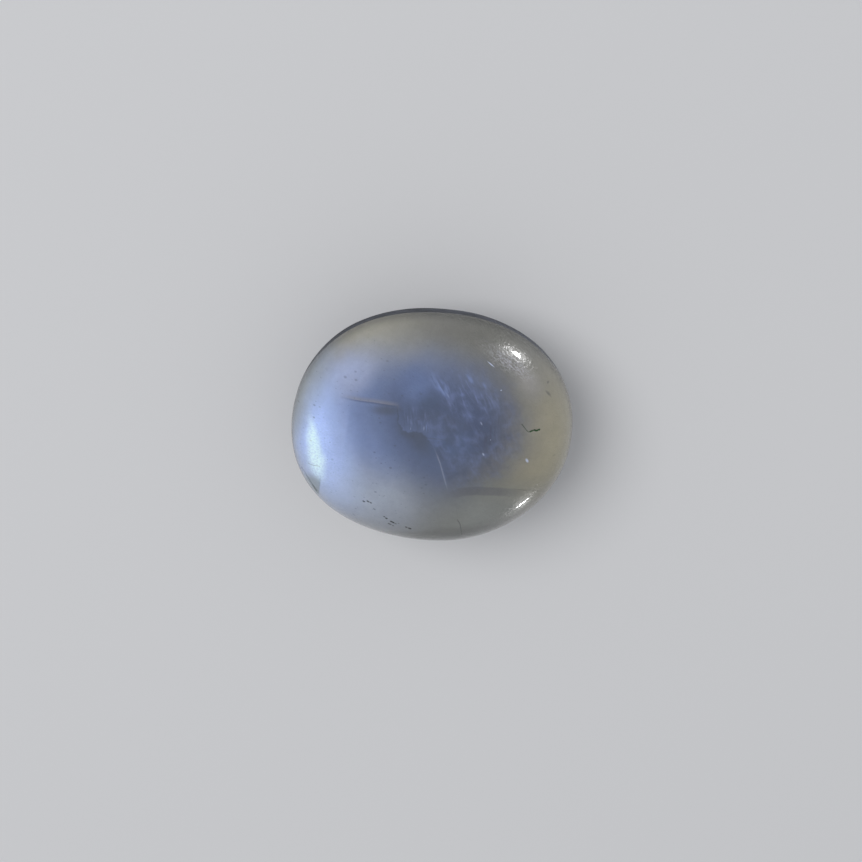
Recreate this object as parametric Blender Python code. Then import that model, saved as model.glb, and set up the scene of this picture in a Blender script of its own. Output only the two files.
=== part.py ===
"""An oval moonstone cabochon: one polished stone with a pillow dome in front, a narrow
girdle round its middle and a rounded back, which is ground flat on a small spot so that the
stone rests on it.

The stone lies on the XY plane with its dome up (+Z) and its long axis along X. Its origin is
the middle of its outline, at the height of the flat spot.
"""

import math

import bmesh
import bpy
from mathutils import Vector

MM = 0.001

# Seen from above the stone is an oval. A squareness of 2 is a true ellipse, and more is squarer.
LENGTH = 14.0 * MM
WIDTH = 12.0 * MM
OUTLINE_SQUARENESS = 2.11

# Cutting by hand leaves faint lobes on the outline: how many, how tall as a share of the
# radius, and the direction of one of them in degrees from +X.
HAND_CUT_LOBES = ((4, 0.006, 21.0), (5, 0.003, -11.0))

# Seen from the side. A fullness of 2 is an elliptical arc, and more is fuller at the shoulders.
# The upright girdle cuts both arcs off at the edge turn, which leaves a crisp edge on each side.
DOME_HEIGHT = 3.2 * MM
DOME_FULLNESS = 2.4
GIRDLE_HEIGHT = 0.7 * MM
BACK_DEPTH = 4.1 * MM
BACK_FULLNESS = 2.3
EDGE_TURN = math.radians(80)

# The flat spot reaches this share of the way from the middle of the back to the girdle.
FLAT_SHARE = 0.34

# Faces round the stone, and bands of faces on the dome and between the girdle and the flat spot.
FACES_ROUND = 112
DOME_BANDS = 16
BACK_BANDS = 15

# The girdle is one band, and so is the flat spot.
BANDS = DOME_BANDS + 1 + BACK_BANDS + 1

# Edges that turn more than this, round the girdle and the flat spot, are drawn sharp.
SHARP_EDGE = math.radians(8)

STONE_COLOUR = (0.36, 0.39, 0.45, 1.0)
POLISH_ROUGHNESS = 0.08


def clear_scene():
    """Removes whatever objects the scene holds."""
    for old in list(bpy.data.objects):
        bpy.data.objects.remove(old, do_unlink=True)


def collection_named(name):
    """A new collection in the scene."""
    collection = bpy.data.collections.new(name)
    bpy.context.scene.collection.children.link(collection)
    return collection


def moonstone_material():
    """Milky grey feldspar with a faint blue cast and a high polish."""
    material = bpy.data.materials.new("polished_moonstone")
    material.use_nodes = True
    shader = material.node_tree.nodes["Principled BSDF"]
    shader.inputs["Base Color"].default_value = STONE_COLOUR
    shader.inputs["Roughness"].default_value = POLISH_ROUGHNESS
    shader.inputs["Metallic"].default_value = 0.0
    material.diffuse_color = STONE_COLOUR
    return material


def outline_point(direction):
    """A point of the girdle's outline, in the direction of this angle round +Z."""
    across, along = math.cos(direction), math.sin(direction)
    squared = abs(across) ** OUTLINE_SQUARENESS + abs(along) ** OUTLINE_SQUARENESS
    reach = squared ** (-1 / OUTLINE_SQUARENESS)
    point = Vector((across * reach * LENGTH / 2, along * reach * WIDTH / 2))
    turned = math.atan2(point.y, point.x)
    lobes = sum(
        share * math.cos(count * (turned - math.radians(peak)))
        for count, share, peak in HAND_CUT_LOBES
    )
    return point * (1 + lobes)


def arc(turn, fullness):
    """(share of the outline's radius, share of the height) at this turn from the pole."""
    edge_reach = math.sin(EDGE_TURN) ** (2 / fullness)
    edge_rise = math.cos(EDGE_TURN) ** (2 / fullness)
    rise = math.cos(turn) ** (2 / fullness)
    return math.sin(turn) ** (2 / fullness) / edge_reach, (rise - edge_rise) / (1 - edge_rise)


def turn_reaching(share, fullness):
    """The turn from the pole at which an arc reaches this share of the outline's radius."""
    edge_reach = math.sin(EDGE_TURN) ** (2 / fullness)
    return math.asin((share * edge_reach) ** (fullness / 2))


def ring_at(band):
    """(share of the outline's radius, height over the flat spot) of the ring below this band."""
    flat_turn = turn_reaching(FLAT_SHARE, BACK_FULLNESS)
    girdle_bottom = BACK_DEPTH * arc(flat_turn, BACK_FULLNESS)[1]
    if band <= DOME_BANDS:
        share, rise = arc(EDGE_TURN * band / DOME_BANDS, DOME_FULLNESS)
        return share, girdle_bottom + GIRDLE_HEIGHT + DOME_HEIGHT * rise
    if band == BANDS:
        return 0.0, 0.0
    down = (band - DOME_BANDS - 1) / BACK_BANDS
    share, drop = arc(EDGE_TURN + (flat_turn - EDGE_TURN) * down, BACK_FULLNESS)
    return share, girdle_bottom - BACK_DEPTH * drop


def shape_point(point):
    """Where a point of the unit sphere goes on the stone."""
    turn = math.acos(max(-1.0, min(1.0, point.z)))
    share, height = ring_at(round(turn / math.pi * BANDS))
    across = outline_point(math.atan2(point.y, point.x)) * share
    return Vector((across.x, across.y, height))


def centre_outline(stone):
    """Moves the mesh so that the middle of its outline is over the origin."""
    across = [vertex.co.x for vertex in stone.verts]
    along = [vertex.co.y for vertex in stone.verts]
    middle = Vector((max(across) + min(across), max(along) + min(along), 0)) / 2
    bmesh.ops.translate(stone, verts=stone.verts, vec=-middle)


def make_moonstone(collection):
    """The whole stone: a sphere reshaped to the cabochon, with its flat spot."""
    stone = bmesh.new()
    bmesh.ops.create_uvsphere(stone, u_segments=FACES_ROUND, v_segments=BANDS, radius=1.0)
    for vertex in stone.verts:
        vertex.co = shape_point(vertex.co)
    centre_outline(stone)
    lowest = min(stone.verts, key=lambda vertex: (round(vertex.co.z, 6), vertex.co.xy.length))
    bmesh.ops.dissolve_verts(stone, verts=[lowest])
    bmesh.ops.recalc_face_normals(stone, faces=stone.faces)

    mesh = bpy.data.meshes.new("moonstone")
    stone.to_mesh(mesh)
    stone.free()
    mesh.shade_smooth()
    mesh.set_sharp_from_angle(angle=SHARP_EDGE)
    mesh.materials.append(moonstone_material())
    moonstone = bpy.data.objects.new("moonstone", mesh)
    collection.objects.link(moonstone)
    return moonstone


def main():
    clear_scene()
    make_moonstone(collection_named("moonstone_cabochon"))


main()
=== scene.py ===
# %% [markdown]
# # A moonstone cabochon
#
# This lesson dresses one small gem. It is an oval moonstone, 14 mm long, cut with a pillow dome
# in front, a narrow upright girdle and a rounded back. The stone is milky, with a darker blue
# window in its middle, a bright blue sheen at one end, and the small flaws of a natural crystal.
# Its solid is already made and packed, so its size and place are settled. We load it first, and
# then build a finer stone in exactly the same place.

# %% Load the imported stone
import math

import bmesh
import bpy
from mathutils import Matrix, Vector, noise
from mathutils.geometry import intersect_point_line


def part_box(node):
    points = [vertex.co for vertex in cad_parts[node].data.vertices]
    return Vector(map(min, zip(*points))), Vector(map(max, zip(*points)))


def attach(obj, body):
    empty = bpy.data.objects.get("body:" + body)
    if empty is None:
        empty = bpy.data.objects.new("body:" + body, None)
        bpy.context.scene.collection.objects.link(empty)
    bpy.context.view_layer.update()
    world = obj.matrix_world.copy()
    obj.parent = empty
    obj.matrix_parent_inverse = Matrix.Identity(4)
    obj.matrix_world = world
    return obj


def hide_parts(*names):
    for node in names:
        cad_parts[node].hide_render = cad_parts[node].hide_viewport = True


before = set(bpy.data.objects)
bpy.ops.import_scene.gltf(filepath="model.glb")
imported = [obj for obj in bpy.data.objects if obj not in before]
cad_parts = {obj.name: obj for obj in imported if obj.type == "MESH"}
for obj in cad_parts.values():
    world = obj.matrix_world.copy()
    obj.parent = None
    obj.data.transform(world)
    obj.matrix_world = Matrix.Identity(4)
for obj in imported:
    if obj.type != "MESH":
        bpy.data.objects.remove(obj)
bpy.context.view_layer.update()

MM = 0.001
stone_low, stone_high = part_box("moonstone")
HEIGHT = stone_high.z - stone_low.z
print(f"the packed stone is {(stone_high.x - stone_low.x) / MM:.2f} mm long")

# %% [markdown]
# ## The outline
#
# Seen from above, the girdle is an oval that is a little squarer than an ellipse. One could draw
# it by hand as a curve, but a superellipse gives it with a single number, the squareness. Grinding
# by hand leaves faint lobes on such an oval, and two cosine waves round it give those.

# %% The oval of the girdle
LENGTH, WIDTH = 14.0 * MM, 12.0 * MM
# A squareness of 2 is a true ellipse, and more is squarer.
SQUARENESS = 2.11
# How many lobes, how tall as a share of the reach, and where one of them is, in degrees from +X.
HAND_CUT_LOBES = ((4, 0.006, 21.0), (5, 0.003, -11.0))


def outline_reach(direction):
    """How far the girdle is from the axis in this direction, an angle round +Z from +X."""
    turn = math.atan2(math.sin(direction) / WIDTH, math.cos(direction) / LENGTH)
    squared = abs(math.cos(turn)) ** SQUARENESS + abs(math.sin(turn)) ** SQUARENESS
    across = math.cos(turn) * LENGTH / 2 * squared ** (-1 / SQUARENESS)
    along = math.sin(turn) * WIDTH / 2 * squared ** (-1 / SQUARENESS)
    lobes = sum(
        share * math.cos(count * (direction - math.radians(peak)))
        for count, share, peak in HAND_CUT_LOBES
    )
    return math.hypot(across, along) * (1 + lobes)


print(f"the girdle reaches {outline_reach(0) / MM:.2f} mm along X")

# %% [markdown]
# ## The profile
#
# From the side, the dome and the back are arcs that are fuller at the shoulders than an ellipse.
# The girdle cuts both off before they turn upright, so an edge runs round each side of it. The
# lowest part of the back is ground flat, and the stone rests on that spot.

# %% The arcs of the dome and the back
# A fullness of 2 is an elliptical arc, and more is fuller at the shoulders.
DOME_HEIGHT, DOME_FULLNESS = 3.2 * MM, 2.4
BACK_DEPTH, BACK_FULLNESS = 4.1 * MM, 2.3
GIRDLE_HEIGHT = 0.7 * MM
# Each arc runs from its pole this far round, where the girdle cuts it off.
EDGE_TURN = math.radians(80)
# The flat spot reaches this share of the way out to the girdle.
FLAT_SHARE = 0.34
GIRDLE_TOP = HEIGHT - DOME_HEIGHT
GIRDLE_BOTTOM = GIRDLE_TOP - GIRDLE_HEIGHT


def arc(turn, fullness):
    """(share of the outline's reach, share of the height) at this turn from the pole."""
    edge_reach = math.sin(EDGE_TURN) ** (2 / fullness)
    edge_rise = math.cos(EDGE_TURN) ** (2 / fullness)
    rise = math.cos(turn) ** (2 / fullness)
    return math.sin(turn) ** (2 / fullness) / edge_reach, (rise - edge_rise) / (1 - edge_rise)


def turn_reaching(share, fullness):
    """The turn from the pole at which an arc reaches this share of the outline's reach."""
    edge_reach = math.sin(EDGE_TURN) ** (2 / fullness)
    return math.asin((share * edge_reach) ** (fullness / 2))


FLAT_TURN = turn_reaching(FLAT_SHARE, BACK_FULLNESS)
print(f"the girdle is from {GIRDLE_BOTTOM / MM:.2f} to {GIRDLE_TOP / MM:.2f} mm up")

# %% [markdown]
# ## From a sphere to the stone
#
# Every point of the stone lies in one direction from its middle, as on a sphere, so a sphere is
# a good start: its rings become the rings of the stone. They are shared out between the dome,
# the girdle, the back and the flat spot, and each point is sent to its place on the stone.

# %% Where a point of the sphere goes
FACES_ROUND = 288
DOME_BANDS, GIRDLE_BANDS, BACK_BANDS, FLAT_BANDS = 84, 6, 48, 6
BANDS = DOME_BANDS + GIRDLE_BANDS + BACK_BANDS + FLAT_BANDS
# Bands are rounded to this many digits, so that each ring of the sphere is a whole number of
# bands below the top.
BAND_DIGITS = 4


def ring(band):
    """(share of the outline's reach, height) of the ring this many bands below the top."""
    if band <= DOME_BANDS:
        share, rise = arc(EDGE_TURN * band / DOME_BANDS, DOME_FULLNESS)
        return share, GIRDLE_TOP + DOME_HEIGHT * rise
    band -= DOME_BANDS
    if band <= GIRDLE_BANDS:
        return 1.0, GIRDLE_TOP - GIRDLE_HEIGHT * band / GIRDLE_BANDS
    band -= GIRDLE_BANDS
    if band <= BACK_BANDS:
        turn = EDGE_TURN + (FLAT_TURN - EDGE_TURN) * band / BACK_BANDS
        share, drop = arc(turn, BACK_FULLNESS)
        return share, GIRDLE_BOTTOM - BACK_DEPTH * drop
    return FLAT_SHARE * max(0.0, 1 - (band - BACK_BANDS) / FLAT_BANDS), 0.0


def on_stone(point):
    """Where a point of the unit sphere goes on the stone."""
    polar = math.acos(max(-1.0, min(1.0, point.z)))
    share, height = ring(round(polar / math.pi * BANDS, BAND_DIGITS))
    direction = math.atan2(point.y, point.x)
    reach = outline_reach(direction) * share
    return Vector((math.cos(direction) * reach, math.sin(direction) * reach, height))


print(f"{BANDS} bands of {FACES_ROUND} faces each")

# %% [markdown]
# ## Where the flaws are
#
# A moonstone is a feldspar that splits easily, so it often has cracks and steps inside, and
# polishing leaves pits where the grains come out. Each flaw is a line on the dome, seen from
# above, in millimetres from the middle of the stone. A line is a list of corners. The distance
# of a point from it later gives both the depth of a groove and the edge of a colour.

# %% Lines on the dome
# Two stretches of a line whose distances differ by less than this are equally near.
EQUALLY_NEAR = 1e-6


class Line:
    """A bent line on the dome, seen from above, in millimetres."""

    def __init__(self, *corners):
        self.corners = [Vector(corner) for corner in corners]

    def gap(self, spot):
        """How far a spot is from the line: positive on its left side, going along it."""
        best = (math.inf, 0.0)
        for start, end in zip(self.corners, self.corners[1:]):
            share = intersect_point_line(spot, start, end)[1]
            foot = start.lerp(end, max(0.0, min(1.0, share)))
            far = (spot - foot).length
            side = (end - start).normalized().cross(spot - start)
            nearer = far < best[0] - EQUALLY_NEAR
            # Round the outside of a corner both stretches end in the same point. The one that
            # the spot lies further beside tells the side.
            as_near = far < best[0] + EQUALLY_NEAR
            if nearer or (as_near and abs(side) > abs(best[1])):
                best = (far, side)
        return math.copysign(best[0], best[1])


SHELF = Line(
    (-4.7, 2.42), (-3.7, 2.34), (-2.74, 2.31), (-1.71, 2.22), (-1.68, 2.03), (-1.65, 1.7),
    (-1.6, 1.36), (-1.45, 1.08), (-1.19, 0.97), (-0.88, 1.0), (-0.49, 0.99), (-0.18, 0.62),
    (0.13, 0.13), (0.38, -0.54), (0.54, -1.11), (0.75, -1.87), (0.9, -2.4),
)
LOW_STEP = Line(
    (0.85, -2.1), (1.38, -1.84), (2.24, -1.81), (3.32, -1.94), (4.08, -2.12), (5.0, -2.42),
    (6.0, -2.9),
)
VEIL = Line(
    (-3.9, 3.2), (-3.99, 2.38), (-3.95, 1.73), (-4.07, 0.85), (-4.21, -0.18), (-4.41, -0.84),
    (-4.6, -1.6),
)
WEDGE_EDGE = Line(
    (-5.33, -1.4), (-5.39, -1.87), (-5.47, -2.46), (-5.57, -3.16), (-5.66, -3.7),
)
print(f"the shelf has {len(SHELF.corners)} corners")

# %% [markdown]
# The shelf, the low step, the veil and the edge of the loose wedge lie inside the stone, so they
# will be colour only. Cracks and pits are open, and dirt settles in them. They could be drawn as
# bumps in the finish, but a real groove catches the light at its edges and looks right from the
# side too. So each one is a line again, with a width and a depth. A pit is a very short crack.

# %% Cracks
# Each flaw is its line, half its width, its depth, and how much dirt it holds, from 0 to 1.
CRACKS = [
    (Line((4.23, 1.28), (4.38, 1.09), (4.49, 0.94), (4.59, 0.86)), 0.014, 0.015, 0.6),
    (Line((4.59, 0.86), (4.73, 0.88), (4.86, 0.93)), 0.014, 0.015, 0.7),
    (Line((4.66, 0.87), (4.77, 0.9)), 0.032, 0.03, 1.0),
    (Line((4.86, 0.92), (4.97, 0.87), (5.12, 0.9)), 0.038, 0.04, 1.0),
    (Line((1.33, -3.77), (1.47, -4.09), (1.53, -4.47), (1.59, -4.95)), 0.014, 0.01, 0.5),
    (Line((-6.04, -1.37), (-5.79, -1.38), (-5.45, -1.32)), 0.018, 0.015, 0.35),
    (Line((-5.39, -1.87), (-5.47, -2.46), (-5.57, -3.16)), 0.012, 0.02, 0.1),
    (Line((-6.44, -1.88), (-6.28, -2.06), (-6.05, -2.38), (-5.66, -3.0)), 0.03, 0.03, 0.3),
]
print(f"{len(CRACKS)} cracks, the deepest {max(crack[2] for crack in CRACKS)} mm deep")

# %% Pits
GRAIN_OF_THE_STONE = Vector((0.87, -0.5))


def pit(across, along, length, half_width, dirt):
    """A pit, drawn out along the grain of the stone and as deep as it is half wide."""
    reach = GRAIN_OF_THE_STONE * (length / 2)
    middle = Vector((across, along))
    return Line(middle - reach, middle + reach), half_width, half_width, dirt


PITS = [
    pit(-3.27, -2.91, 0.04, 0.038, 0.75), pit(-3.06, -2.88, 0.08, 0.034, 0.7),
    pit(-2.92, -2.94, 0.06, 0.03, 0.6), pit(-2.75, -3.33, 0.08, 0.026, 0.4),
    pit(-2.26, -3.76, 0.03, 0.03, 0.7), pit(-2.16, -3.87, 0.05, 0.036, 0.85),
    pit(-1.87, -4.09, 0.16, 0.034, 1.0), pit(-2.0, -4.26, 0.12, 0.036, 0.65),
    pit(-1.83, -4.36, 0.03, 0.026, 0.5), pit(-1.7, -4.2, 0.04, 0.03, 0.5),
    pit(-1.55, -4.17, 0.03, 0.024, 0.35), pit(-1.17, -4.4, 0.06, 0.03, 0.8),
    pit(-1.0, -4.49, 0.09, 0.038, 1.0),
]
print(f"{len(PITS)} pits")

# %% The nearest flaw
FLAWS = CRACKS + PITS
# No gap counts for more than this, in millimetres.
FAR_OFF = 1.0
# A groove is half as deep at its edge as in its middle.
EDGE_DEPTH = 0.5


def flaw_at(spot):
    """(gap to the edge of the nearest flaw in mm, its depth there in mm, its dirt)."""
    found = (FAR_OFF, 0.0, 0.0)
    for line, half_width, depth, dirt in FLAWS:
        gap = abs(line.gap(spot)) - half_width
        share = min(1.0, max(0.0, EDGE_DEPTH - gap / half_width))
        found = min(found, (gap, depth * share, dirt))
    return found


print(f"{len(FLAWS)} flaws in all")

# %% [markdown]
# ## The mesh
#
# The grooves of the cracks are thinner than a face of the stone. Rather than divide the whole
# stone finely, we find the faces that lie near a flaw and divide only those. At that moment the
# mesh is still a sphere, so the new points are pushed out to it before all go to their places.

# %% Divide the faces near the flaws
# Faces whose middle is nearer to a flaw than this, in millimetres, are divided by this many cuts.
FLAW_MARGIN = 0.16
FINE_CUTS = 3
# The faces next to the girdle are left whole, because its edge is bevelled later.
WHOLE_RIM = 0.15 * MM


def spot_of(point):
    """The spot on the dome below or above a point of the stone, in millimetres."""
    return Vector((point.x, point.y)) / MM


stone = bmesh.new()
bmesh.ops.create_uvsphere(stone, u_segments=FACES_ROUND, v_segments=BANDS, radius=1.0)
near_flaws = set()
for face in stone.faces:
    middle = on_stone(face.calc_center_median())
    if middle.z > GIRDLE_TOP + WHOLE_RIM and flaw_at(spot_of(middle))[0] < FLAW_MARGIN:
        near_flaws.update(face.edges)
divided = [edge for edge in stone.edges if edge in near_flaws]
bmesh.ops.subdivide_edges(stone, edges=divided, cuts=FINE_CUTS, use_grid_fill=True)
for vertex in stone.verts:
    vertex.co = on_stone(vertex.co.normalized())
print(f"{len(divided)} edges divided, {len(stone.faces)} faces")

# %% [markdown]
# A lapidary breaks every sharp edge a little, because a sharp one chips. A bevel does that here.
# The edges are found by their angle, so the list of them never has to be written down.

# %% Ease the edges of the girdle and of the flat spot
EASED_EDGE, EASED_FACES = 0.05 * MM, 3
# An edge that turns more than this is sharp to the touch.
SHARP = math.radians(6)

bmesh.ops.recalc_face_normals(stone, faces=stone.faces)
crisp = [edge for edge in stone.edges if edge.calc_face_angle(0.0) > SHARP]
bmesh.ops.bevel(
    stone, geom=crisp, offset=EASED_EDGE, affect="EDGES", segments=EASED_FACES, profile=0.5,
    material=-1,
)
print(f"{len(crisp)} crisp edges were eased")

# %% [markdown]
# Nothing polished by hand is perfectly even. Long shallow waves make reflections swim a little.
# The flaws are pressed in along the surface's own direction, and each point also keeps its gap
# to the lines, so that the finish can draw their edges sharply wherever the mesh is coarse.

# %% Polish waves, grooves and the gaps to the lines
# The length and the height of each kind of wave. The back was polished less evenly.
POLISH_WAVES = ((2.6 * MM, 0.014 * MM), (0.8 * MM, 0.003 * MM))
BACK_WAVES = (1.9 * MM, 0.03 * MM)
TALLEST_WAVE = 0.02 * MM
# Points lower than this belong to the flat spot, which stays flat.
FLAT_HEIGHT = 0.001 * MM
GAPS = {"shelf_gap": SHELF, "step_gap": LOW_STEP, "veil_gap": VEIL, "wedge_gap": WEDGE_EDGE}
layers = {name: stone.verts.layers.float.new(name) for name in [*GAPS, "flaw_gap", "flaw_dirt"]}
stone.normal_update()
for vertex in stone.verts:
    spot = spot_of(vertex.co)
    on_dome = vertex.co.z > GIRDLE_TOP
    for name, line in GAPS.items():
        gap = line.gap(spot) if on_dome else FAR_OFF
        vertex[layers[name]] = max(-FAR_OFF, min(FAR_OFF, gap))
    flaw_gap, groove, dirt = flaw_at(spot) if on_dome else (FAR_OFF, 0.0, 0.0)
    vertex[layers["flaw_gap"]] = min(FAR_OFF, flaw_gap)
    vertex[layers["flaw_dirt"]] = dirt
    wave = sum(noise.noise(vertex.co / size) * deep for size, deep in POLISH_WAVES)
    if vertex.co.z < GIRDLE_BOTTOM:
        wave += noise.noise(vertex.co / BACK_WAVES[0]) * BACK_WAVES[1]
    if vertex.co.z > FLAT_HEIGHT:
        vertex.co += vertex.normal * (min(wave, TALLEST_WAVE) - groove * MM)
        vertex.co.z = max(0.0, vertex.co.z)
print(f"{len(stone.verts)} points, each with {len(layers)} numbers")

# %% [markdown]
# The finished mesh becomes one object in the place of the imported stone. It stays at the origin,
# unturned and unscaled, because its points already lie where they belong.

# %% Turn it into an object
mesh = bpy.data.meshes.new("moonstone_polished")
stone.to_mesh(mesh)
stone.free()
mesh.shade_smooth()
moonstone = bpy.data.objects.new("moonstone_polished", mesh)
bpy.context.scene.collection.objects.link(moonstone)
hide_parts("moonstone")
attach(moonstone, "root")
print(f"the mesh has {sum(len(face.vertices) - 2 for face in mesh.polygons)} triangles")

# %% [markdown]
# ## A sheet of shader maths
#
# A material is a sheet of nodes. Wiring dozens of them by hand hides what they do, so two small
# classes let us write the sheet as ordinary sums. A Value is a number somewhere on the sheet,
# and arithmetic on it adds Math nodes. Colours go through mixes instead, because a Math node
# would turn them grey.

# %% Numbers on a sheet
class Value:
    """A number or colour on a sheet of nodes."""

    def __init__(self, sheet, socket):
        self.sheet = sheet
        self.socket = socket

    def maths(self, operation, *values):
        """The result of a Math node."""
        return self.sheet.node("ShaderNodeMath", {"operation": operation}, *values)

    def __add__(self, other):
        return self.maths("ADD", self, other)

    def __sub__(self, other):
        return self.maths("SUBTRACT", self, other)

    def __rsub__(self, other):
        return self.maths("SUBTRACT", other, self)

    def __mul__(self, other):
        return self.maths("MULTIPLY", self, other)

    __radd__ = __add__
    __rmul__ = __mul__

    def size(self):
        """The number without its sign."""
        return self.maths("ABSOLUTE", self)

    def ramp(self, start, end):
        """0 at start and 1 at end, smooth between them. Start may be the larger one."""
        settings = {"interpolation_type": "SMOOTHSTEP"}
        return self.sheet.node("ShaderNodeMapRange", settings, self, start, end, 0.0, 1.0)


print("numbers on a sheet can be added, subtracted, multiplied and ramped")

# %% [markdown]
# The sheet holds the nodes. One method adds any node, whatever its type, with its settings and
# the values or links of its sockets. The other methods are the few things that this finish needs
# again and again: mixes of two colours, oval patches, noise, and the gaps that the mesh keeps.
# Patterns are stretched far along Z, because seen from above the height should hardly matter.

# %% The sheet
# How far a pattern is stretched along Z, and a reach that takes in any height, in millimetres.
DEEP = 8.0
ANY_HEIGHT = 1000.0
# A mix node has this many sockets for numbers and vectors before the two for colours.
SOCKETS_BEFORE_COLOURS = 5


class Sheet:
    """The nodes of one material, which starts with its Principled shader."""

    def __init__(self, name):
        self.material = bpy.data.materials.new(name)
        self.material.use_nodes = True
        self.tree = self.material.node_tree
        self.shader = self.tree.nodes["Principled BSDF"]

    def feed(self, socket, value):
        """Links a Value to a socket, or sets a plain number or colour on it."""
        if isinstance(value, Value):
            self.tree.links.new(value.socket, socket)
        elif value is not None:
            if socket.type == "RGBA" and len(value) == 3:
                value = (*value, 1.0)
            socket.default_value = value

    def node(self, kind, settings=None, *values, out=0, **named):
        """Adds a node with its settings and sockets, and gives back one of its outputs."""
        node = self.tree.nodes.new(kind)
        for setting, value in (settings or {}).items():
            setattr(node, setting, value)
        for socket, value in zip(node.inputs, values):
            self.feed(socket, value)
        for name, value in named.items():
            self.feed(node.inputs[name.replace("_", " ")], value)
        return Value(self, node.outputs[out])

    def set(self, **named):
        """Sets sockets of the Principled shader."""
        for name, value in named.items():
            self.feed(self.shader.inputs[name.replace("_", " ")], value)

    def mix(self, mask, first, second):
        """The first colour where the mask is 0 and the second where it is 1."""
        settings = {"data_type": "RGBA"}
        passed = [None] * SOCKETS_BEFORE_COLOURS
        return self.node("ShaderNodeMix", settings, mask, *passed, first, second, out=2)

    def shade(self, colour, amount):
        """A colour or a vector, times a number."""
        settings = {"operation": "SCALE"}
        return self.node("ShaderNodeVectorMath", settings, colour, None, None, amount)

    def laid(self, spot, centre=(0, 0), size=(1, 1), turn=0.0, depth=DEEP):
        """The spot measured from a centre, turned, in units of a size across, along and down."""
        return self.node(
            "ShaderNodeMapping",
            {"vector_type": "TEXTURE"},
            spot,
            (*centre, 0),
            (0, 0, math.radians(turn)),
            (*size, depth),
        )

    def patch(self, spot, centre, size, turn=0.0, even=0.0):
        """1 in the middle of an oval patch, up to its even part, and 0 past its edge."""
        far = self.node(
            "ShaderNodeVectorMath",
            {"operation": "LENGTH"},
            self.laid(spot, centre, size, turn, ANY_HEIGHT),
            out=1,
        )
        return far.ramp(1.0, even)

    def noise(self, spot, size, detail=2.0, roughness=0.5):
        """Cloudy noise from 0 to 1, with clouds about this many millimetres across."""
        return self.node(
            "ShaderNodeTexNoise",
            None,
            spot,
            Scale=1 / size,
            Detail=detail,
            Roughness=roughness,
        )

    def gap(self, name):
        """A gap that the mesh keeps at each point, in millimetres."""
        return self.node("ShaderNodeAttribute", {"attribute_name": name}, out=2)


finish = Sheet("polished_moonstone")
print(f"the sheet has {len(finish.tree.nodes)} nodes to start with")

# %% [markdown]
# ## The milk
#
# Light scatters on layers of two feldspars inside the stone. Seen from above, some parts look
# like thin milk, others are clear and show the dark depth below. We lay these parts over each
# other as soft oval patches, from the broadest to the smallest, on the stone's own coordinates.
# Their edges are pushed about by noise, since nothing in a crystal is a perfect oval.

# %% Places on the stone
# The noise that pushes places about: waves per millimetre, and how far it pushes, in millimetres.
SWIRLS, PUSH = 0.7, 0.5

place = finish.node("ShaderNodeTexCoord", out=3)
spot = finish.shade(place, 1 / MM)
height = finish.node("ShaderNodeSeparateXYZ", None, spot, out=2)
swirl = finish.node("ShaderNodeTexNoise", None, spot, Scale=SWIRLS, Detail=3.0, out=1)
push = finish.node("ShaderNodeVectorMath", {"operation": "SUBTRACT"}, swirl, (0.5, 0.5, 0.5))
push = finish.shade(push, PUSH)
wavy = finish.node("ShaderNodeVectorMath", {"operation": "ADD"}, spot, push)
print(f"places are measured in millimetres, and pushed by up to {PUSH / 2} of them")

# %% Broad patches of milk
# Each patch has its centre and its reach in millimetres, its turn in degrees, the share of it
# that is even, and its colour.
MILK = (0.14, 0.14, 0.13)
MILK_PATCHES = {
    "pale foot": ((-3.6, -2.2), (5.6, 4.2), -17, 0.1, (0.34, 0.38, 0.46)),
    "warm right shoulder": ((5.2, -0.4), (3.7, 5.2), -8, 0.1, (0.29, 0.27, 0.20)),
    "warm top": ((-3.4, 4.3), (4.5, 3.8), 0, 0.0, (0.31, 0.30, 0.25)),
    "neutral foot": ((2.4, -3.4), (4.2, 2.7), 12, 0.0, (0.21, 0.22, 0.21)),
    "grey foot": ((0.9, -5.3), (5.6, 1.2), 9, 0.1, (0.09, 0.095, 0.09)),
    "grey top": ((2.6, 5.6), (3.5, 1.2), -20, 0.0, (0.11, 0.11, 0.10)),
    "blue window": ((-1.8, 1.6), (6.0, 4.1), 9, 0.3, (0.19, 0.25, 0.43)),
    "heart of the window": ((0.8, 1.4), (5.5, 3.6), -18, 0.2, (0.07, 0.09, 0.16)),
    "mist over the middle": ((-0.1, 0.4), (4.6, 3.0), -70, 0.0, (0.10, 0.13, 0.22)),
    "blue above the shelf": ((-0.7, 3.1), (1.6, 1.2), -20, 0.0, (0.125, 0.17, 0.31)),
    "blue middle": ((0.7, 0.5), (1.7, 1.0), 0, 0.0, (0.09, 0.125, 0.225)),
    "haze above the sheen": ((-4.1, 3.4), (2.3, 1.4), 38, 0.0, (0.34, 0.39, 0.56)),
    # The blue sheen is painted sheen: light thrown back by the layers, painted in one place.
    "blue sheen": ((-5.8, 0.7), (2.6, 6.4), 16, 0.0, (0.46, 0.59, 0.95)),
    # The next patch is a painted halo that runs on from the upper lamp's mirror image.
    "painted halo below the upper glint": ((4.5, 3.1), (1.5, 0.9), -40, 0.0, (0.23, 0.225, 0.215)),
    "pale left shoulder": ((-6.8, 2.1), (1.7, 7.3), -22, 0.2, (0.26, 0.29, 0.32)),
}
colour = MILK
for centre, size, turn, even, tone in MILK_PATCHES.values():
    colour = finish.mix(finish.patch(wavy, centre, size, turn, even), colour, tone)
print(f"{len(MILK_PATCHES)} patches of milk")

# %% [markdown]
# The sheen of a moonstone is light thrown back by its layers, and it wanders as the stone is
# turned. Here it is painted in the place where the stone shows it when seen from the front.
# Its brightest part is narrow and grainy, and it ends on one side along the edge of a veil.

# %% The heart of the sheen
SHEEN_WHITE = (0.71, 0.90, 1.0)

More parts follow.
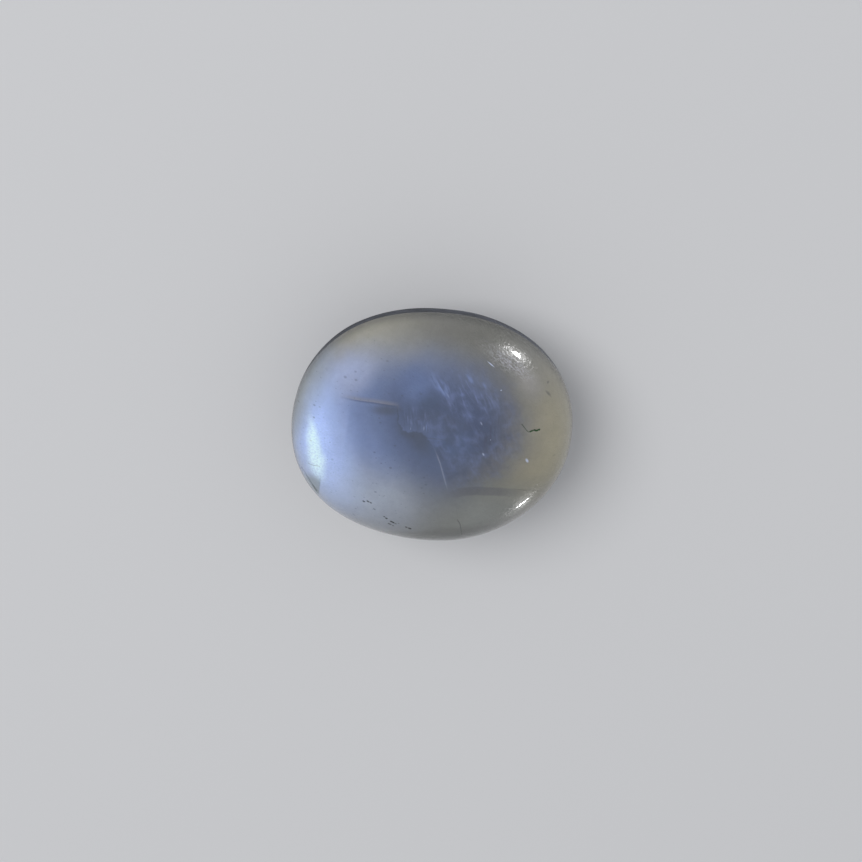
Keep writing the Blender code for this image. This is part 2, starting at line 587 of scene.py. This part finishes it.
heart = finish.patch(wavy, (-5.6, -1.1), (0.62, 1.5), 4, 0.15)
narrow_top = finish.patch(wavy, (-5.72, -0.2), (0.42, 1.8), 7, 0.1)
heart = heart + narrow_top - heart * narrow_top
grain = finish.noise(finish.laid(spot, (0, 0), (0.1, 0.07), 0), 1.0, 2.0)
grainy = grain.ramp(0.35, 0.6)
sheen_reach = finish.patch(spot, (-5.4, -0.6), (1.9, 3.2), 8, 0.3)
colour = finish.shade(colour, 1 + (grain - 0.5) * sheen_reach * 0.35)
colour = finish.mix(heart * (grainy * 0.4 + 0.6), colour, SHEEN_WHITE)
print("the sheen has a narrow, grainy heart")

# %% The veil
VEIL_BLUE = (0.36, 0.43, 0.66)

veil_gap = finish.gap("veil_gap")
veil_reach = finish.patch(spot, (-4.45, 0.2), (1.3, 2.9), 2, 0.2)
# The side of the veil towards the sheen is painted paler, as part of the painted sheen.
bright_side = veil_gap.ramp(0.07, -0.09) * veil_gap.ramp(-0.9, -0.1)
colour = finish.mix(bright_side * veil_reach * 0.25, colour, VEIL_BLUE)
print("the sheen ends along the veil")

# %% [markdown]
# ## Streaks in the window
#
# Through the clear window one sees the layers of the crystal themselves: short pale blue streaks
# that all lean the same way, with darker clouds between them. Stretched noise gives such streaks,
# because every cloud of it is drawn out along one direction. A second, finer set stands nearly
# upright along the shelf.

# %% The window and its dark clouds
CLOUD_DARK = (0.08, 0.095, 0.145)

# The window ends along the shelf. Noise makes its edge there a ragged one.
shelf_gap = finish.gap("shelf_gap")
ragged_gap = shelf_gap + (finish.noise(spot, 0.2, 3.0) - 0.5) * 0.3
clear_side = ragged_gap.ramp(-0.03, 0.04)
window = finish.patch(wavy, (1.5, 1.0), (3.6, 3.7), -30, 0.45) * clear_side
clouds = finish.noise(spot, 1.2, 3.0, 0.55)
colour = finish.mix(window * clouds.ramp(0.54, 0.36) * 0.45, colour, CLOUD_DARK)
print("the window has dark clouds and a ragged edge")

# %% Leaning streaks
LEANING_BLUE = (0.18, 0.23, 0.42)
BLOTCH_BLUE = (0.17, 0.22, 0.40)
FINE_BLUE = (0.22, 0.28, 0.50)

leaning = finish.noise(finish.laid(wavy, (0, 0), (1.1, 0.36), -62), 1.0, 3.0, 0.6)
colour = finish.mix(window * leaning.ramp(0.45, 0.8) * 0.3, colour, LEANING_BLUE)
blotches = finish.noise(wavy, 0.5, 3.0)
colour = finish.mix(window * blotches.ramp(0.45, 0.75) * 0.3, colour, BLOTCH_BLUE)
upper_part = finish.patch(spot, (1.3, 2.9), (2.6, 1.3), -20, 0.2)
fine = finish.noise(finish.laid(spot, (3, 3), (0.8, 0.16), -64), 1.0, 2.0, 0.55)
fine_streaks = window * (upper_part * 0.3 + 0.08) * fine.ramp(0.5, 0.75)
colour = finish.mix(fine_streaks, colour, FINE_BLUE)
# The same noise later breaks up lines that would be too even.
broken = fine.ramp(0.3, 0.6)
print("broad streaks, blotches and fine streaks in the window")

# %% Upright streaks along the shelf, and the darkest places
UPRIGHT_BLUE, UPRIGHT_DARK = (0.20, 0.25, 0.43), (0.08, 0.09, 0.13)
POOL_BLUE = (0.07, 0.093, 0.155)
RIGHT_END_DARK = (0.07, 0.075, 0.10)

by_the_shelf = finish.patch(spot, (-0.8, 1.5), (1.1, 1.0), 0, 0.3) * clear_side
upright = finish.noise(finish.laid(spot, (1, 0), (0.7, 0.11), -84), 1.0, 2.0, 0.55)
colour = finish.mix(by_the_shelf * upright.ramp(0.5, 0.75) * 0.45, colour, UPRIGHT_BLUE)
colour = finish.mix(by_the_shelf * upright.ramp(0.48, 0.3) * 0.35, colour, UPRIGHT_DARK)
pool = finish.patch(spot, (-0.15, 2.4), (1.0, 0.85), 10, 0.0)
colour = finish.mix(pool * 0.75, colour, POOL_BLUE)
right_end = finish.patch(wavy, (2.9, 0.9), (1.2, 1.9), 0, 0.2)
colour = finish.mix(right_end * upright.ramp(0.5, 0.3) * 0.4, colour, RIGHT_END_DARK)
print("upright streaks, a dark pool and a dark right end")

# %% [markdown]
# ## The shelf and the low step
#
# A crack plane inside the stone ends in a stepped edge. Its first stretch is a tan line with a
# sharp lower edge and a shadow below, then the edge turns down, and its last stretch is a hair of
# light. These shadows and lights are painted. A second step lies lower down, with a dark band of
# painted shade below it. Each edge is a ramp over the gap to its line.

# %% The first stretch of the shelf
TAN = (0.25, 0.24, 0.255)
UNDER_TAN = (0.085, 0.10, 0.16)
FIRST_SHADOW = (0.085, 0.095, 0.12)

first_stretch = finish.patch(spot, (-2.9, 2.35), (1.7, 0.6), 0, 0.35)
tan_side = shelf_gap.ramp(-0.02, 0.01) * shelf_gap.ramp(0.24, 0.02)
colour = finish.mix(first_stretch * tan_side * 0.55, colour, TAN)
dark_side = shelf_gap.ramp(0.01, -0.02) * shelf_gap.ramp(-0.12, -0.02)
colour = finish.mix(first_stretch * dark_side * 0.55, colour, UNDER_TAN)
first_shadow = finish.patch(spot, (-2.25, 1.98), (1.0, 0.36), 3, 0.1)
colour = finish.mix(first_shadow * 0.55, colour, FIRST_SHADOW)
print("the shelf starts as a tan line with a shadow")

# %% Its corner and its middle stretch
CORNER_DARK = (0.07, 0.08, 0.11)
LIT_EDGE, SHADED_EDGE = (0.13, 0.17, 0.29), (0.075, 0.085, 0.115)
CORNER_SHADOW = (0.07, 0.08, 0.105)

corner = finish.patch(spot, (-1.55, 1.6), (0.4, 0.95), 8, 0.3)
colour = finish.mix(corner * ragged_gap.size().ramp(0.06, 0.0) * 0.5, colour, CORNER_DARK)
middle_stretch = finish.patch(spot, (-0.9, 1.0), (1.2, 1.0), -30, 0.35)
lit_side = ragged_gap.ramp(0.0, 0.04) * shelf_gap.ramp(0.6, 0.05)
colour = finish.mix(middle_stretch * lit_side * 0.4, colour, LIT_EDGE)
shaded_side = ragged_gap.ramp(0.0, -0.04) * shelf_gap.ramp(-0.5, -0.05)
colour = finish.mix(middle_stretch * shaded_side * 0.4, colour, SHADED_EDGE)
corner_shadow = finish.patch(wavy, (-0.6, 0.5), (1.3, 0.75), -44, 0.0)
colour = finish.mix(corner_shadow * (1 - clear_side) * 0.5, colour, CORNER_SHADOW)
print("it turns down, lit on one side and shaded on the other")

# %% Its last stretch
HAIR_OF_LIGHT = (0.27, 0.30, 0.38)

last_stretch = finish.patch(spot, (0.5, -0.9), (1.5, 0.5), -66, 0.3)
hair = shelf_gap.size().ramp(0.06, 0.0)
colour = finish.mix(last_stretch * hair * (broken * 0.35 + 0.2), colour, HAIR_OF_LIGHT)
print("it ends as a hair of light")

# %% The low step
STEP_DARK, STEP_END = (0.10, 0.105, 0.125), (0.1, 0.1, 0.08)

step_gap = finish.gap("step_gap")
# Painted shade: a dark band just below the step.
band = step_gap.ramp(0.04, -0.05) * step_gap.ramp(-0.53, -0.42)
low_step = finish.patch(spot, (2.5, -2.1), (2.4, 0.8), -4, 0.25)
colour = finish.mix(band * low_step * 0.5, colour, STEP_DARK)
step_end = finish.patch(spot, (4.9, -2.4), (1.3, 0.6), -22, 0.2)
colour = finish.mix(step_gap.size().ramp(0.05, 0.01) * step_end * 0.45, colour, STEP_END)
print("the low step is a dark band with a thin end")

# %% [markdown]
# ## Mottling and specks
#
# Even the clearest part of such a stone is faintly mottled, and tiny holes in its polish hold a
# little dark dirt. They are too small and too many to model one by one. A cell pattern scatters
# them instead, and a random number per cell leaves most cells empty.

# %% Mottling
mottle = finish.noise(spot, 0.3, 2.0) * 0.14 + finish.noise(spot, 1.1, 2.0) * 0.14
mottle = mottle + finish.noise(spot, 0.1, 2.0) * 0.1
colour = finish.shade(colour, mottle + 0.81)
print("the whole stone is faintly mottled")

# %% Specks
# Specks of each size: their cells per millimetre, how much darker they are on the left half than
# elsewhere, and how dark they are elsewhere.
SPECKS = ((3.4, 0.3, 0.1), (6.5, 0.22, 0.12))
SPECK_TONE = (0.07, 0.08, 0.10)

left_half = finish.patch(spot, (-5.0, 0.0), (8.0, 7.5), 0, 0.4)
drawn_out = finish.laid(spot, (0, 0), (1.5, 1.0), -8)
for scale, more_left, everywhere in SPECKS:
    cells = finish.node("ShaderNodeTexVoronoi", None, drawn_out, Scale=scale)
    chance = finish.node("ShaderNodeTexVoronoi", None, drawn_out, Scale=scale, out=1)
    which = finish.node("ShaderNodeSeparateColor", None, chance)
    how_small = finish.node("ShaderNodeSeparateColor", None, chance, out=1)
    specks = (cells + how_small * 0.13).ramp(0.25, 0.1) * which.ramp(0.3, 0.65)
    strength = left_half * more_left + everywhere
    colour = finish.mix(specks * strength, colour, SPECK_TONE)
print(f"specks of {len(SPECKS)} sizes")

# %% [markdown]
# ## Glints, flashes and marks
#
# Small cleavage faces inside the stone catch the light, and that light is painted into the colour.
# The brightest are painted glints with crisp edges, others are soft blue flashes of painted light,
# which the noise of the fine streaks breaks up, and a few show as faint dark marks. Noise could
# scatter them too, but there are few enough to give each its own place. Near the mirror image of
# the upper lamp, scuffs in the polish are painted lighter, as a painted halo.

# %% Glints
# Each glint, flash or mark has its centre and its reach in millimetres, its turn in degrees and
# its strength.
GLINT_TONE = (0.50, 0.56, 0.75)
GLINTS = (
    ((2.68, 4.08), (0.3, 0.03), -38, 0.9),
    ((3.18, 2.94), (0.05, 0.045), 0, 0.8),
    ((0.66, 2.78), (0.2, 0.04), -58, 0.2),
    ((2.28, 1.44), (0.14, 0.05), -60, 0.4),
    ((2.43, -0.10), (0.13, 0.06), -60, 0.6),
    ((4.58, -0.60), (0.18, 0.09), -62, 0.85),
    ((2.75, 0.62), (0.05, 0.03), 80, 0.5),
    ((-0.42, 1.2), (0.035, 0.16), 0, 0.35),
    ((-1.05, 1.16), (0.03, 0.09), 0, 0.25),
)
# Each glint is a painted highlight.
for centre, size, turn, strength in GLINTS:
    glint = finish.patch(spot, centre, size, turn, 0.1)
    colour = finish.mix(glint * strength, colour, GLINT_TONE)
print(f"{len(GLINTS)} glints")

# %% Flashes
FLASH_BLUE = (0.21, 0.28, 0.52)
FLASHES = (
    ((0.25, 3.2), (0.9, 0.32), -50, 0.7),
    ((0.5, 2.85), (0.32, 0.1), -56, 0.6),
    ((1.65, 3.4), (0.4, 0.15), -48, 0.5),
    ((2.45, 3.1), (0.3, 0.12), -60, 0.35),
    ((1.2, 2.75), (0.3, 0.14), -5, 0.35),
    ((-0.3, 1.25), (0.06, 0.3), 0, 0.5),
)
# Each flash is painted light.
for centre, size, turn, strength in FLASHES:
    flash = finish.patch(wavy, centre, size, turn, 0.0) * broken
    colour = finish.mix(flash * strength, colour, FLASH_BLUE)
print(f"{len(FLASHES)} flashes")

# %% Scuffs with a painted halo, and marks
SCUFF_HALO_TONE = (0.48, 0.48, 0.55)
MARK_TONE = (0.09, 0.09, 0.09)
MARKS = (
    ((5.51, 2.98), (0.1, 0.09), 0, 0.7),
    ((5.53, 2.5), (0.32, 0.08), -47, 0.7),
    ((5.97, -0.62), (0.12, 0.06), 0, 0.3),
    ((0.1, 0.69), (0.6, 0.04), -3, 0.35),
    ((1.25, -3.1), (0.03, 0.8), 8, 0.15),
)
# Real scuffs in the polish near the upper lamp's mirror image, painted lighter as a painted halo.
scuffed = finish.patch(wavy, (3.5, 4.08), (2.0, 0.5), -33, 0.0)
lit_scuffs = finish.noise(finish.laid(spot, (2, 1), (0.2, 0.06), -38), 1.0, 2.0).ramp(0.4, 0.7)
lit_scuffs = lit_scuffs + finish.noise(spot, 0.07, 2.0).ramp(0.45, 0.7)
colour = finish.mix(lit_scuffs * scuffed * 0.35, colour, SCUFF_HALO_TONE)
for centre, size, turn, strength in MARKS:
    mark = finish.patch(spot, centre, size, turn, 0.1)
    colour = finish.mix(mark * strength, colour, MARK_TONE)
print(f"a scuffed place and {len(MARKS)} marks")

# %% [markdown]
# ## The loose wedge and the dirt
#
# At the left end a wedge of the stone has nearly split off. It shows as a greyer patch with one
# crisp side, which again is a ramp over a gap. The mesh also keeps how far each point is from the
# nearest crack or pit, so dark dirt can fill those up to a slightly ragged edge.

# %% The loose wedge
WEDGE_GREY, WEDGE_FOOT = (0.22, 0.26, 0.28), (0.07, 0.09, 0.07)

wedge_side = finish.gap("wedge_gap").ramp(0.02, -0.03)
wedge = finish.patch(spot, (-5.75, -2.7), (0.85, 0.95), 0, 0.4)
colour = finish.mix(wedge * wedge_side * 0.75, colour, WEDGE_GREY)
wedge_foot = finish.patch(spot, (-5.72, -2.9), (0.45, 0.18), -58, 0.0)
colour = finish.mix(wedge_foot * wedge_side * 0.45, colour, WEDGE_FOOT)
print("a wedge that is nearly split off looks greyer")

# %% The dirt in the flaws
DIRT, GREEN_DIRT = (0.015, 0.02, 0.017), (0.012, 0.055, 0.012)

ragged = finish.noise(spot, 0.07, 1.0) * 0.03 - 0.015
flaws = (finish.gap("flaw_gap") + ragged).ramp(0.02, -0.008) * finish.gap("flaw_dirt")
green_part = finish.patch(spot, (4.9, 0.95), (0.9, 0.6), 0, 0.5)
colour = finish.mix(flaws, colour, finish.mix(green_part, DIRT, GREEN_DIRT))
print("the flaws are filled with dirt")

# %% [markdown]
# ## The rim, the girdle and the back
#
# The dome is darkened towards the girdle, which is painted shade at its rim. The girdle itself was
# ground and hardly polished, so it is a duller grey with faint rings from the wheel. On the far
# side it is painted nearly black, which is painted shade as well. The back has soft clouds but
# none of the fine lines, because those lie close under the dome.

# %% The rim and the back
TOP_MM, BOTTOM_MM = GIRDLE_TOP / MM, GIRDLE_BOTTOM / MM
BACK_DARK, BACK_PALE = (0.19, 0.20, 0.22), (0.30, 0.32, 0.35)

# Painted shade: the colour darkens towards the girdle, to half at its edge and below it.
rim = height.ramp(TOP_MM + 0.9, TOP_MM)
colour = finish.shade(colour, 1 - rim * 0.5)
back = height.ramp(BOTTOM_MM + 0.02, BOTTOM_MM - 0.3)
back_clouds = finish.noise(wavy, 2.2, 4.0).ramp(0.35, 0.65)
colour = finish.mix(back * 0.6, colour, finish.mix(back_clouds, BACK_DARK, BACK_PALE))
print("the rim is darker and the back is cloudy")

# %% The girdle
FAR_SHADE_DARK, FAR_SHADE_PALE = (0.02, 0.023, 0.03), (0.045, 0.05, 0.065)
DULL_GREY = (0.14, 0.145, 0.155)

girdle = height.ramp(TOP_MM + 0.02, TOP_MM - 0.03) * (1 - back)
# Painted shade: on the far side the girdle is painted nearly black, with faint grinding rings.
far_side = finish.patch(spot, (0, 7.0), (9.5, 8.0), 0, 0.55)
grind = finish.noise(finish.laid(spot, (0, 0), (1.2, 1.2), 0, 0.2), 1.0, 4.0).ramp(0.3, 0.7)
far_side_shade = finish.mix(grind, FAR_SHADE_DARK, FAR_SHADE_PALE)
milky_grey = finish.mix(0.5, finish.shade(colour, grind * 0.3 + 0.8), DULL_GREY)
colour = finish.mix(girdle, colour, finish.mix(far_side, milky_grey, far_side_shade))
print("the girdle is grey, and darkest on the far side")

# %% [markdown]
# ## Gloss
#
# The polish is a clear coat without bumps, so it mirrors the lamps crisply. Under it the surface
# is a little rough and scratched, which spreads a grainy halo round each mirrored lamp. The milk
# itself lets light in and throws it back a bit further on, so the stone is given subsurface
# scattering rather than plain paint.

# %% Scratches
# A scratch's length and width in millimetres, and the two ways that scratches run, in degrees.
SCRATCH = (0.5, 0.055)
ONE_WAY, OTHER_WAY = 40, -35
SCRATCH_DEPTH = 0.012 * MM

scratches = finish.noise(finish.laid(spot, (1, 1), SCRATCH, ONE_WAY), 1.0, 2.0)
scratches_across = finish.noise(finish.laid(spot, (1, 1), SCRATCH, OTHER_WAY), 1.0, 2.0)
texture = scratches * 0.6 + scratches_across * 0.6 + finish.noise(spot, 0.1, 1.0)
bump = finish.node("ShaderNodeBump", None, Strength=1.0, Distance=SCRATCH_DEPTH, Height=texture)
print(f"scratches {SCRATCH_DEPTH / MM} mm deep, in two directions")

# %% Gloss
# The roughness under the polish varies from place to place, and the girdle is duller all round.
dull = girdle * 0.35
finish.set(
    Base_Color=colour,
    Roughness=finish.noise(spot, 0.5, 3.0) * 0.12 + 0.17 + dull,
    IOR=1.52,
    Specular_IOR_Level=0.25,
    Subsurface_Weight=0.7,
    Subsurface_Radius=(1.0, 1.0, 1.0),
    Subsurface_Scale=1.2 * MM,
    Coat_Weight=0.5 - girdle * 0.5,  # none on the girdle
    Coat_Roughness=0.03,
    Coat_IOR=1.5,
    Normal=bump,
)
mesh.materials.append(finish.material)
print(f"{len(finish.tree.nodes)} nodes in the finish")

# %% [markdown]
# ## The studio
#
# A plain pale floor under a soft, even sky shows the stone without anything else in its polish.
# The floor is only a stage and no part of the stone.

# %% Floor
FLOOR_RADIUS, FLOOR_CORNERS = 2.0, 96
PAPER = (0.62, 0.62, 0.63)


def make_floor():
    """A wide round floor of pale paper, at the height of the flat spot."""
    floor_mesh = bpy.data.meshes.new("floor")
    disc = bmesh.new()
    bmesh.ops.create_circle(disc, cap_ends=True, segments=FLOOR_CORNERS, radius=FLOOR_RADIUS)
    disc.to_mesh(floor_mesh)
    disc.free()
    paper = Sheet("pale_floor")
    paper.set(Base_Color=PAPER, Roughness=0.7)
    floor_mesh.materials.append(paper.material)
    floor = bpy.data.objects.new("floor", floor_mesh)
    bpy.context.scene.collection.objects.link(floor)


make_floor()
print(f"the floor reaches {FLOOR_RADIUS:.0f} m out")

# %% The sky
SKY_COLOUR, SKY_STRENGTH = (0.95, 0.97, 1.0, 1.0), 0.55

world = bpy.data.worlds.new("studio")
world.use_nodes = True
sky = world.node_tree.nodes["Background"]
sky.inputs["Color"].default_value = SKY_COLOUR
sky.inputs["Strength"].default_value = SKY_STRENGTH
bpy.context.scene.world = world
bpy.context.scene.view_settings.view_transform = "Standard"
print(f"an even sky of strength {SKY_STRENGTH}")

# %% [markdown]
# One large lamp gives the stone soft light and shade. Its own mirror image is switched off, since
# the polish shows two small lamps instead: a round one at the upper right, and a long narrow one
# below it. They light the stone alone, so that they cast no spots on the floor.

# %% The soft lamp
MIDDLE = Vector((0, 0, HEIGHT / 2))
# Places and sizes in metres, power in watts.
KEY_PLACE, KEY_SIZE, KEY_WATTS = Vector((-0.25, 0.2, 0.45)), (0.35, 0.35), 1.6


def area_light(name, place, target, size, watts, mirrored=True):
    """An oval lamp at a place, aimed at a target. The gloss mirrors it only if it is mirrored."""
    light = bpy.data.lights.new(name, "AREA")
    light.shape = "ELLIPSE"
    light.size, light.size_y = size
    light.energy = watts
    lamp = bpy.data.objects.new(name, light)
    lamp.location = place
    lamp.rotation_euler = (target - place).to_track_quat("-Z", "Y").to_euler()
    lamp.visible_glossy = mirrored
    lamp.visible_camera = False
    bpy.context.scene.collection.objects.link(lamp)
    return lamp


area_light("soft_key", KEY_PLACE, MIDDLE, KEY_SIZE, KEY_WATTS, mirrored=False)
print(f"a soft lamp of {KEY_WATTS} W, {(KEY_PLACE - MIDDLE).length:.2f} m away")

# %% The two small lamps
# Where each lamp's image lies on the stone, the way from there to the lamp, its distance and
# size in millimetres, and its power in watts.
SMALL_LAMPS = {
    "upper_glint": ((3.91, 4.37, 5.94), (0.707, 0.707, -0.017), 30, (4.0, 4.0), 0.0055),
    "lower_glint": ((4.6, -3.08, 6.46), (0.553, -0.822, -0.135), 30, (3.8, 0.9), 0.0008),
}
stone_only = bpy.data.collections.new("lit_by_the_small_lamps")
stone_only.objects.link(moonstone)
for name, (at, towards, far, size, watts) in SMALL_LAMPS.items():
    at = Vector(at) * MM
    size = [side * MM for side in size]
    lamp = area_light(name, at + Vector(towards) * far * MM, at, size, watts)
    lamp.light_linking.receiver_collection = stone_only
print(f"{len(SMALL_LAMPS)} small lamps that light the stone alone")

# %% [markdown]
# ## The camera
#
# The camera looks down on the dome, leaning towards the far side, so that a thin crescent of the
# girdle shows there. Its distance is counted in pixels of the picture: 20 of them make one
# millimetre of the stone, and the same distance in pixels gives the lens.

# %% Camera
FRAME_PIXELS = 862
# One pixel of the picture, measured on the stone.
PIXEL = MM / 20.07
VIEW_DISTANCE = 1216 * PIXEL
# How far the view leans from straight above, how far that lean is turned from +Y, and how far
# the picture is rolled.
VIEW_TILT = math.radians(20.5)
VIEW_TURN = math.radians(2.37)
VIEW_ROLL = math.radians(1.1)
# Where the middle of the girdle's top lies in the picture, from its upper left corner.
AIM_PIXEL = (431.83, 428.85)
SENSOR_WIDTH = 36
NEAREST, FARTHEST = 0.001, 20


def make_camera():
    """A camera leaning back from straight above, aimed at the middle of the girdle's top."""
    lean = Vector((-math.sin(VIEW_TURN), math.cos(VIEW_TURN), 0))
    towards = lean * math.sin(VIEW_TILT) + Vector((0, 0, math.cos(VIEW_TILT)))
    up = (lean - towards * lean.dot(towards)).normalized()
    up = Matrix.Rotation(-VIEW_ROLL, 3, towards) @ up
    right = up.cross(towards)
    data = bpy.data.cameras.new("camera")
    data.sensor_width = SENSOR_WIDTH
    data.lens = SENSOR_WIDTH * (VIEW_DISTANCE / PIXEL) / FRAME_PIXELS
    data.clip_start, data.clip_end = NEAREST, FARTHEST
    data.shift_x = (FRAME_PIXELS / 2 - AIM_PIXEL[0]) / FRAME_PIXELS
    data.shift_y = (AIM_PIXEL[1] - FRAME_PIXELS / 2) / FRAME_PIXELS
    camera = bpy.data.objects.new("camera", data)
    at = Vector((0, 0, GIRDLE_TOP)) + towards * VIEW_DISTANCE
    axes = Matrix((right, up, towards)).transposed()
    camera.matrix_world = Matrix.Translation(at) @ axes.to_4x4()
    bpy.context.scene.collection.objects.link(camera)
    bpy.context.scene.camera = camera
    return camera


camera = make_camera()
print(f"the camera is {VIEW_DISTANCE / MM:.0f} mm away, with a {camera.data.lens:.0f} mm lens")
